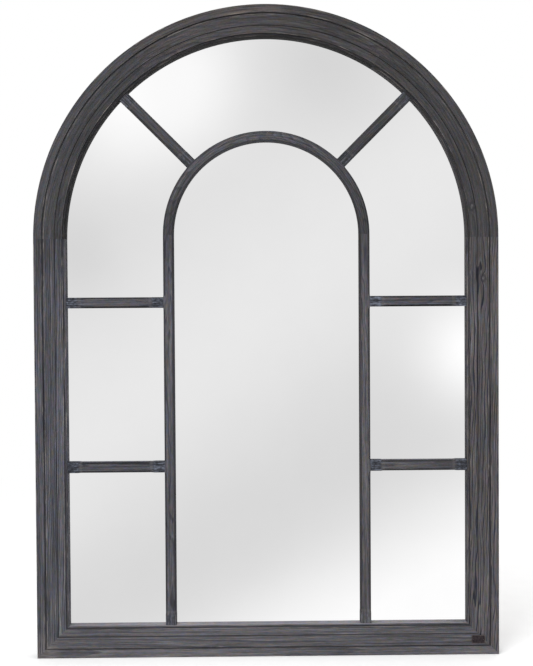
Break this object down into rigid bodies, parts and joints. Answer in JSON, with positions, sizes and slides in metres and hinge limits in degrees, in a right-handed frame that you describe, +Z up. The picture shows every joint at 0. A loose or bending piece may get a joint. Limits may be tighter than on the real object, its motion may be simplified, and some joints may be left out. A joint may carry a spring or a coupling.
{
  "type": "arched wall mirror",
  "caption": "Arched window-style wall mirror: moulded grey-stained pine frame, stop-chamfered glazing bars in front of the mirror, screwed back board and swinging D-rings.",
  "frame": {"origin": "middle of the bottom rail's underside, halfway between the frame's front and back", "axes": "+X to the right as the mirror is looked at, +Y from the front to the wall, +Z up"},
  "size_m": [1, 0.0427, 1.4039],
  "materials": {
    "stained_pine": "dark grey stain, brushed grain, matt",
    "dowel_wood": "bare",
    "mirror": "silvered float glass",
    "card": "grey-brown card",
    "fibreboard": "smooth brown fibreboard",
    "zinc_steel": "bright zinc plate",
    "rubber": "matt black",
    "dark_metal": "dark bronze, bare"
  },
  "bodies": {
    "frame": {"left_stile": "stained_pine", "right_stile": "stained_pine", "bottom_rail": "stained_pine", "arch_left": "stained_pine", "arch_top": "stained_pine", "arch_right": "stained_pine", "frame_dowels": "dowel_wood", "left_mullion": "stained_pine", "right_mullion": "stained_pine", "inner_arch_left": "stained_pine", "inner_arch_right": "stained_pine", "upper_left_bar": "stained_pine", "upper_right_bar": "stained_pine", "lower_left_bar": "stained_pine", "lower_right_bar": "stained_pine", "left_diagonal_bar": "stained_pine", "right_diagonal_bar": "stained_pine", "bar_dowels": "dowel_wood", "mirror_glass": "mirror", "backing_sheet": "card", "backing_board": "fibreboard", "board_screws": "zinc_steel", "left_hanger_strap": "zinc_steel", "right_hanger_strap": "zinc_steel", "hanger_screws": "zinc_steel", "wall_pads": "rubber", "badge_plate": "dark_metal", "badge_pins": "dark_metal"},
    "left_ring": {"left_hanger_ring": "zinc_steel"},
    "right_ring": {"right_hanger_ring": "zinc_steel"}
  },
  "joints": [
    {"name": "left_ring_swing", "type": "hinge", "parent": "frame", "child": "left_ring", "pos_m": [-0.4765, 0.0198, 0.86], "axis": [1, 0, 0], "range_deg": [0, 180]},
    {"name": "right_ring_swing", "type": "hinge", "parent": "frame", "child": "right_ring", "pos_m": [0.4765, 0.0198, 0.86], "axis": [1, 0, 0], "range_deg": [0, 180]}
  ]
}
